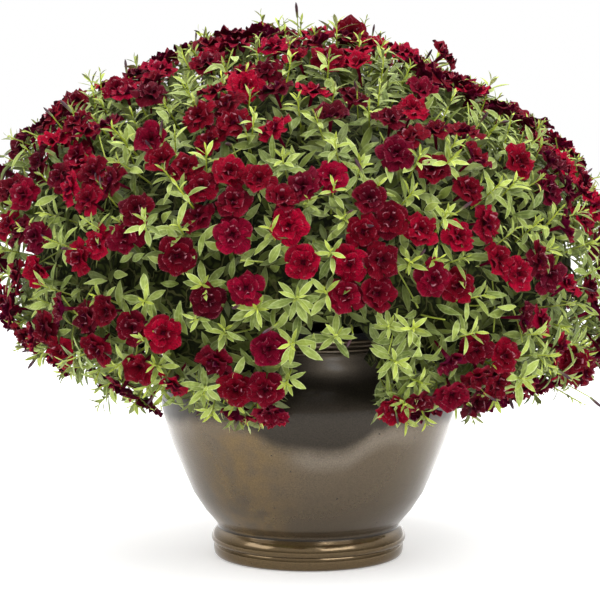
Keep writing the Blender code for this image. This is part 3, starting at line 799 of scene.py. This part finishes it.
loose = {
    "blooms": (
        ((0.037, -0.02, 0.470), (0.1, -0.75, 0.6)),
        ((0.118, -0.02, 0.450), (0.75, -0.2, 0.6)),
        ((0.243, -0.05, 0.173), (0.8, -0.45, -0.35)),
        ((-0.215, -0.04, 0.372), (-0.3, -0.7, 0.6)),
    ),
    "buds": (
        ((-0.010, -0.01, 0.484), (-0.1, -0.1, 1.0)), ((0.006, -0.03, 0.464), (0.3, -0.4, 0.9)),
        ((0.249, -0.05, 0.150), (0.7, -0.2, -0.6)), ((-0.132, -0.01, 0.442), (-0.5, -0.1, 0.9)),
    ),
    "sprigs": (
        (-0.043, 0.01, 0.487), (-0.022, -0.01, 0.481), (0.051, 0.0, 0.482), (0.028, 0.03, 0.472),
        (-0.098, 0.0, 0.472), (0.155, 0.0, 0.424), (0.175, -0.03, 0.406), (0.212, 0.0, 0.392),
        (0.240, -0.02, 0.360), (-0.266, -0.03, 0.380), (-0.249, -0.05, 0.386), (-0.236, 0.0, 0.392),
        (-0.277, -0.02, 0.330), (-0.150, -0.02, 0.432), (0.262, -0.03, 0.345), (0.243, -0.04, 0.143),
        (0.262, -0.03, 0.205), (-0.225, -0.03, 0.165), (-0.262, -0.04, 0.190),
    ),
}


def layOutExtras(rng, count, apart):
    # more flowers between the others, each kept with its nearest cluster
    extras = [[] for _ in clusters]
    placed = list(bloomPoints)
    for _ in range(40000):
        if len(placed) >= len(bloomPoints) + count:
            break
        azimuth, place = randomPlace(rng)
        point = moundPoint(azimuth, place)
        if any((point - other).length < apart for other in placed):
            continue
        placed.append(point)
        extras[nearestCluster(point)].append((azimuth, place))
    return extras, placed


extras, bloomPoints = layOutExtras(random.Random(21), bloomLook["extras"], bloomLook["apart"])
print(len(bloomPoints), "flowers with those between")


def addFlowers():
    # one piece for each cluster; some of its flowers are only half open
    for index, cluster in enumerate(clusters):
        name = f"blooms_{index + 1:02d}"
        own = random.Random(100 + index)
        bunch = Bunch()
        for spot, _ in cluster:
            point, axis = bloomPlace(own, *spot, 0.002)
            addBloom(bunch, own, point, axis, 0.55 if own.random() < 0.14 else 1.0)
        for spot in extras[index]:
            point, axis = bloomPlace(own, *spot, own.uniform(-0.006, 0.003))
            addBloom(bunch, own, point, axis, 0.5 if own.random() < 0.25 else 1.0)
        for point, axis in loose["blooms"]:
            if nearestCluster(Vector(point)) == index:
                addBloom(bunch, own, Vector(point), Vector(axis).normalized(), 0.8)
        piece = bunch.piece(f"flowers_{index + 1:02d}", [petalMaterial, leafMaterial])
        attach(piece, "root")
        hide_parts(name)


addFlowers()
print("flowers made")


# Foliage

foliageLook = {
    "seed": 5, "tufts": 400, "tuftApart": 0.0190, "bloomClear": 0.0130,
    "leafLength": 0.0235, "leaves": (10, 13), "leafTurn": 2.4, "stem": 0.0010, "stemTip": 0.0007,
    "lowSpread": math.radians(82), "topSpread": math.radians(20),
    "fillers": 5200, "fillerDepth": 0.034, "underBloom": 0.016, "underDepth": 0.014,
    "buds": 90, "twigs": 260, "coreDepth": 0.041, "coreThick": 0.010,
}


def randomTurn(rng, reach):
    return Vector([rng.uniform(-reach, reach) for _ in range(3)])


def randomWay(rng):
    return Vector([rng.gauss(0, 1) for _ in range(3)]).normalized()


def addTuft(bunch, rng, foot, tip, size):
    # a shoot from foot to tip: broad leaves below, small lime ones at its end
    look = foliageLook
    axis = (tip - foot).normalized()
    side = axis.orthogonal().normalized()
    bow = foot.lerp(tip, 0.5) + randomTurn(rng, 0.002)
    young = rng.uniform(0.45, 1.0)
    stem = stemPoints(foot - axis * 0.01, bow, tip, look["stem"], look["stemTip"])
    bunch.add(stemShape, stem, (0.55 + 0.3 * young, 0.6, 0.0))
    count = rng.randint(*look["leaves"])
    turn = rng.uniform(0, 6.3)
    for index in range(count):
        share = index / (count - 1)
        at = foot.lerp(tip, 0.28 + 0.72 * share)
        around = turn + index * look["leafTurn"] + rng.uniform(-0.25, 0.25)
        out = Matrix.Rotation(around, 3, axis) @ side
        spread = look["lowSpread"] + (look["topSpread"] - look["lowSpread"]) * share**1.6
        spread += rng.uniform(-0.15, 0.15)
        along = (out * math.sin(spread) + axis * math.cos(spread)).normalized()
        length = look["leafLength"] * size * (1 - 0.66 * share**2.2) * rng.uniform(0.85, 1.1)
        width = length * rng.uniform(0.74, 0.98) * (1 - 0.35 * share)
        droop, fold = rng.uniform(0.0, 0.8), rng.uniform(0.1, 0.5)
        points = bladePoints(leafShape, at, along, axis, length, width, droop, fold)
        tone = (min(1.0, young * share**2 + rng.uniform(0, 0.12)), rng.random(), 0.0)
        bunch.add(leafShape, points, tone)


def addFiller(bunch, rng, azimuth, place, depth):
    # a loose leaf between the shoots, with painted shade that darkens it the deeper it lies
    normal = moundNormal(azimuth, place)
    point = moundPoint(azimuth, place, depth)
    drift = randomWay(rng)
    along = (drift + normal * 0.45).normalized()
    length = foliageLook["leafLength"] * rng.uniform(0.75, 1.1)
    up = (normal + drift.orthogonal() * rng.uniform(-0.6, 0.6)).normalized()
    width = length * rng.uniform(0.65, 0.95)
    foot = point - along * length * 0.4
    points = bladePoints(leafShape, foot, along, up, length, width, rng.uniform(0, 0.9), 0.3)
    # painted shade, set by how deep the leaf lies
    shade = min(max((depth - 0.004) / 0.026, 0), 1)
    bunch.add(leafShape, points, (0.15 * rng.random(), rng.random(), 0.85 * shade))


def addTwig(bunch, rng, azimuth, place):
    # a thin pale stem that runs between the leaves, never past the mound
    normal = moundNormal(azimuth, place)
    start = moundPoint(azimuth, place, rng.uniform(0.020, 0.032))
    end = start + (randomWay(rng) + normal * 0.4).normalized() * rng.uniform(0.030, 0.050)
    end -= normal * max((end - moundPoint(azimuth, place)).dot(normal), 0)
    bend = start.lerp(end, 0.5) + normal * 0.004
    bunch.add(stemShape, stemPoints(start, bend, end, 0.0009, 0.0007), (0.5, rng.random(), 0.1))


def addBud(bunch, rng, foot, top, axis):
    # a dark bud on a thin stalk
    bend = foot.lerp(top, 0.6)
    bunch.add(stemShape, stemPoints(foot, bend, top, 0.0008, 0.0006), (0.6, 0.7, 0.0))
    frameOf = np.array(axis.to_track_quat("Z", "Y").to_matrix())
    length = rng.uniform(0.009, 0.015)
    points = budShape["points"] * (length * 0.75, length * 0.75, length)
    bunch.add(budShape, points @ frameOf.T + np.array(top), (0.2, 0.5, 0.0), 1)


def modelCore(index):
    # dense inner growth: a lumpy closed slab under the leaves, a dark sheet that stands for the shade inside
    # the mound
    look = foliageLook
    shape = moundShape
    bpy.ops.mesh.primitive_grid_add(x_subdivisions=26, y_subdivisions=22, size=2)
    item = bpy.context.object
    for vert in item.data.vertices:
        x, y = vert.co.x, vert.co.y
        if index == shape["sectors"]:
            place = max(shape["crownEnd"] * max(abs(x), abs(y)), 0.0001)
            azimuth = math.atan2(y, x)
        else:
            azimuth = sectorAngle * (index + 0.5 + y / 2)
            place = shape["crownEnd"] + (x + 1) / 2 * (shape["hemEnd"] - shape["crownEnd"])
            place = min(place, hemPlace(azimuth) - 0.03)
        point = moundPoint(azimuth, place)
        rough = noise.fractal(point * 70, 0.5, 2.0, 4)
        vert.co = moundPoint(azimuth, place, look["coreDepth"] + 0.010 * rough)
    editItem(item)
    bpy.ops.mesh.select_all(action="SELECT")
    bpy.ops.mesh.remove_doubles(threshold=0.0002)
    bpy.ops.mesh.normals_make_consistent(inside=False)
    bpy.ops.object.mode_set(mode="OBJECT")
    solid = item.modifiers.new("thick", "SOLIDIFY")
    solid.thickness = look["coreThick"]
    solid.offset = -1
    bpy.ops.object.modifier_apply(modifier="thick")
    return item


def layOutTufts(rng):
    # shoots spread over the mound, clear of the flowers and of each other
    look = foliageLook
    tufts = []
    for _ in range(60000):
        if len(tufts) >= look["tufts"]:
            break
        azimuth, place = randomPlace(rng, 0.0)
        point = moundPoint(azimuth, place)
        if any((point - other).length < look["bloomClear"] for other in bloomPoints):
            continue
        if any((point - other[2]).length < look["tuftApart"] for other in tufts):
            continue
        tufts.append((azimuth, place, point))
    return tufts


def addShoots(bunches, rng):
    tufts = layOutTufts(rng)
    print(len(tufts), "leafy shoots")
    for azimuth, place, point in tufts:
        lift = rng.uniform(0.001, 0.012)
        if rng.random() < 0.16:
            lift += rng.uniform(0.003, 0.012)
        normal = moundNormal(azimuth, place)
        drift = randomTurn(rng, 0.35)
        tip = point + normal * lift
        foot = tip - (normal + Vector((0, 0, 0.30)) + drift).normalized() * 0.030
        addTuft(bunches[ownerOf(azimuth, place)], rng, foot, tip, rng.uniform(0.70, 1.08))
    middle = Vector((0, 0, moundShape["middle"]))
    for place in loose["sprigs"]:
        tip = Vector(place)
        foot = tip.lerp(middle, rng.uniform(0.16, 0.24))
        addTuft(bunches[ownerAt(tip)], rng, foot, tip, rng.uniform(0.60, 0.85))


def addFillers(bunches, rng):
    look = foliageLook
    flowersAt = np.array(bloomPoints)
    for _ in range(look["fillers"]):
        azimuth, place = randomPlace(rng, 0.0)
        depth = rng.uniform(0.0, look["fillerDepth"])
        away = np.linalg.norm(flowersAt - np.array(moundPoint(azimuth, place)), axis=1)
        if np.min(away) < look["underBloom"]:
            depth = max(depth, look["underDepth"])
        addFiller(bunches[ownerOf(azimuth, place)], rng, azimuth, place, depth)


def addBuds(bunches, rng):
    for _ in range(foliageLook["buds"]):
        azimuth, place = randomPlace(rng)
        normal = moundNormal(azimuth, place)
        axis = (normal + randomTurn(rng, 0.6)).normalized()
        point = moundPoint(azimuth, place)
        top = point + axis * rng.uniform(0.002, 0.010)
        addBud(bunches[ownerOf(azimuth, place)], rng, point - normal * 0.02, top, axis)
    middle = Vector((0, 0, moundShape["middle"]))
    for place, axis in loose["buds"]:
        top = Vector(place)
        addBud(bunches[ownerAt(top)], rng, top.lerp(middle, 0.18), top, Vector(axis).normalized())


def addFoliage():
    rng = random.Random(foliageLook["seed"])
    crown = moundShape["sectors"]
    bunches = [Bunch() for _ in range(crown + 1)]
    for index, bunch in enumerate(bunches):
        core = shapeOf(modelCore(index))
        bunch.add(core, core["points"], (0.0, 0.4, 1.0), 2)
    addShoots(bunches, rng)
    addFillers(bunches, rng)
    for _ in range(foliageLook["twigs"]):
        azimuth, place = randomPlace(rng, 0.05)
        addTwig(bunches[ownerOf(azimuth, place)], rng, azimuth, place)
    addBuds(bunches, rng)
    for index, bunch in enumerate(bunches):
        name = "leafy_stem_crown" if index == crown else f"leafy_stem_{index + 1}"
        piece = bunch.piece(name.replace("leafy_stem", "foliage"), [leafMaterial, budMaterial, innerMaterial])
        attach(piece, "root")
        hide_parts(name)
        print(piece.name, len(piece.data.polygons), "faces")


addFoliage()
print("foliage made")


# Pot and soil

potShape = {
    "segments": 96, "sharp": math.radians(50),
    "foot": (
        (0.0815, 0.0), (0.0838, 0.0006), (0.0852, 0.0022), (0.0859, 0.0050), (0.0861, 0.0082),
        (0.0857, 0.0106), (0.0851, 0.0118),
    ),
    "bead": (
        (0.0861, 0.0126), (0.0874, 0.0138), (0.0880, 0.0154), (0.0880, 0.0170), (0.0875, 0.0190),
        (0.0866, 0.0210), (0.0854, 0.0230), (0.0840, 0.0248), (0.0826, 0.0261),
    ),
    "waist": ((0.0820, 0.0270), (0.0822, 0.0282), (0.0840, 0.0312), (0.0872, 0.0352)),
    "belly": (
        (0.0940, 0.0430), (0.1044, 0.0586), (0.1120, 0.0760), (0.1178, 0.0900), (0.1230, 0.1030),
        (0.1272, 0.1154), (0.1305, 0.1270), (0.1323, 0.1365), (0.1328, 0.1450), (0.1324, 0.1540),
        (0.1308, 0.1620), (0.1280, 0.1700), (0.1238, 0.1775), (0.1183, 0.1845), (0.1122, 0.1903),
    ),
    "neck": (
        (0.1090, 0.1935), (0.1080, 0.1950), (0.1084, 0.1962), (0.1078, 0.1974), (0.1066, 0.1984),
    ),
    "lip": (
        (0.1072, 0.1996), (0.1092, 0.2004), (0.1104, 0.2020), (0.1107, 0.2038), (0.1098, 0.2056),
        (0.1076, 0.2068), (0.1050, 0.2070), (0.1022, 0.2062), (0.1002, 0.2040), (0.0990, 0.2005),
    ),
    "inside": ((0.0985, 0.1960), (0.1020, 0.1860), (0.1080, 0.1770), (0.1150, 0.1690)),
}


def modelPot():
    # turned from its base: the rim is extruded and resized along the outline, foot to lip and in
    shape = potShape
    stretches = ("foot", "bead", "waist", "belly", "neck", "lip", "inside")
    outline = [point for stretch in stretches for point in shape[stretch]]
    radius, height = outline[0]
    bpy.ops.mesh.primitive_circle_add(
        vertices=shape["segments"], radius=radius, fill_type="TRIFAN", location=(0, 0, 0)
    )
    item = bpy.context.object
    editItem(item)
    bpy.ops.mesh.select_mode(type="EDGE")
    bm = bmesh.from_edit_mesh(item.data)
    for edge in bm.edges:
        edge.select = edge.is_boundary
    bmesh.update_edit_mesh(item.data)
    for wide, high in outline[1:]:
        bpy.ops.mesh.extrude_edges_move(TRANSFORM_OT_translate={"value": (0, 0, high - height)})
        scale = wide / radius
        bpy.ops.transform.resize(value=(scale, scale, 1), center_override=(0, 0, high))
        radius, height = wide, high
    bpy.ops.mesh.extrude_edges_move(TRANSFORM_OT_translate={"value": (0, 0, 0)})
    bpy.ops.mesh.merge(type="CENTER")
    bpy.ops.mesh.select_all(action="SELECT")
    bpy.ops.mesh.normals_make_consistent(inside=False)
    bpy.ops.object.mode_set(mode="OBJECT")
    bpy.ops.object.shade_smooth_by_angle(angle=shape["sharp"])
    item.name = "glazedPot"
    item.data.materials.append(glaze)
    return item


soilShape = {"radius": 0.0965, "height": 0.190, "raised": 0.004, "crumbs": 0.0022, "thick": 0.012}


def modelSoil():
    shape = soilShape
    bpy.ops.mesh.primitive_circle_add(
        vertices=64, radius=shape["radius"], fill_type="TRIFAN", location=(0, 0, shape["height"])
    )
    item = bpy.context.object
    bpy.ops.object.transform_apply(location=True)
    editItem(item)
    bpy.ops.mesh.select_all(action="SELECT")
    bpy.ops.mesh.subdivide(number_cuts=5)
    bpy.ops.object.mode_set(mode="OBJECT")
    for vert in item.data.vertices:
        away = math.hypot(vert.co.x, vert.co.y) / shape["radius"]
        crumb = noise.fractal(vert.co * 140, 0.6, 2.0, 3)
        vert.co.z += shape["raised"] * (1 - away**2) + shape["crumbs"] * crumb
    solid = item.modifiers.new("thick", "SOLIDIFY")
    solid.thickness = shape["thick"]
    solid.offset = -1
    bpy.ops.object.modifier_apply(modifier="thick")
    bpy.ops.object.shade_smooth_by_angle(angle=math.radians(60))
    item.name = "pottingSoil"
    item.data.materials.append(soilMaterial)
    return item


pot = modelPot()
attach(pot, "root")
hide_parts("pot")
soil = modelSoil()
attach(soil, "root")
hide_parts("soil")
print("pot and soil made")


# Floor, light and camera

studio = {
    "lens": 161.0, "eye": (-0.0077, -2.40, 0.50), "aim": (-0.0077, 0.0, 0.231),
    "lights": {
        "rightLight": {"place": (1.25, -1.55, 1.75), "aim": (0, 0, 0.25), "size": (1.7, 1.2), "power": 38.0},
        "leftLight": {"place": (-2.2, -0.9, 1.85), "aim": (0, 0, 0.25), "size": (1.7, 1.2), "power": 27.0},
        "topLight": {"place": (0.0, 0.3, 2.6), "aim": (0, 0, 0.3), "size": (1.8, 1.8), "power": 40.0},
    },
    "glint": {"place": (0.56, -0.50, 2.43), "aim": (0.03, -0.12, 0.18), "size": (0.22, 0.40), "power": 17.0},
    "front": 0.16, "sky": 1.0, "backdrop": 0.8,
    "floorSize": 6.0, "floorFront": 2.0, "floorGlow": 0.25, "floorTone": (0.86, 0.90),
}


def addLight(name, place, aim, size, power):
    light = bpy.data.lights.new(name, "AREA")
    light.shape = "RECTANGLE"
    light.size, light.size_y = size
    light.energy = power
    item = bpy.data.objects.new(name, light)
    item.location = place
    item.rotation_euler = (Vector(aim) - Vector(place)).to_track_quat("-Z", "Y").to_euler()
    bpy.context.scene.collection.objects.link(item)
    return item


def addLights():
    for name, values in studio["lights"].items():
        addLight(name, **values)
    # the glint by the rim: seen only as a reflection, and not held back by the leaves above it
    glint = addLight("glintLight", **studio["glint"])
    glint.data.use_shadow = False
    glint.visible_diffuse = False


def addWorld():
    # white behind the object; its light is strong from above and behind, and weak from the front
    world = bpy.data.worlds.new("paleStudio")
    bpy.context.scene.world = world
    world.use_nodes = True
    wire = Wire(world.node_tree)
    y, z = wire.node("TexCoord", out="Generated").parts()[1:]
    soft = studio["front"] + z.between(0.10, 0.60) * studio["sky"]
    soft = soft + y.between(0.1, 0.8) * studio["backdrop"]
    seen = wire.node("LightPath", out="Is Camera Ray")
    shade = world.node_tree.nodes["Background"]
    shade.inputs["Color"].default_value = (1, 1, 1, 1)
    wire.plug(seen + (1 - seen) * soft, shade.inputs["Strength"])


def addFloor():
    size = studio["floorSize"]
    middle = size / 2 - studio["floorFront"]
    bpy.ops.mesh.primitive_plane_add(size=size, location=(0, middle, -0.0002))
    bpy.ops.object.transform_apply(location=True)
    floor = bpy.context.object
    floor.name = "paleFloor"
    material, wire, shader = newMaterial("paleFloor")
    faint = wire.noise(wire.node("TexCoord", out="Object"), 3.0)
    dark, pale = [(tone, tone, tone) for tone in studio["floorTone"]]
    wire.plug(wire.mix(faint, dark, pale), shader.inputs["Base Color"])
    shader.inputs["Roughness"].default_value = 0.8
    shader.inputs["Emission Color"].default_value = (1, 1, 1, 1)
    shader.inputs["Emission Strength"].default_value = studio["floorGlow"]
    floor.data.materials.append(material)


def addCamera():
    camera = bpy.data.objects.new("camera", bpy.data.cameras.new("camera"))
    camera.data.lens = studio["lens"]
    camera.location = studio["eye"]
    look = Vector(studio["aim"]) - Vector(studio["eye"])
    camera.rotation_euler = look.to_track_quat("-Z", "Y").to_euler()
    bpy.context.scene.collection.objects.link(camera)
    bpy.context.scene.camera = camera
    bpy.context.scene.view_settings.view_transform = "Standard"


addFloor()
addLights()
addWorld()
addCamera()
print("floor, lights and camera placed")

bpy.ops.object.select_all(action="DESELECT")
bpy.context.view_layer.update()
triangles = 0
for item in bpy.data.objects:
    if item.type == "MESH" and not item.hide_render:
        triangles += sum(len(face.vertices) - 2 for face in item.data.polygons)
print("scene ready,", triangles, "triangles")
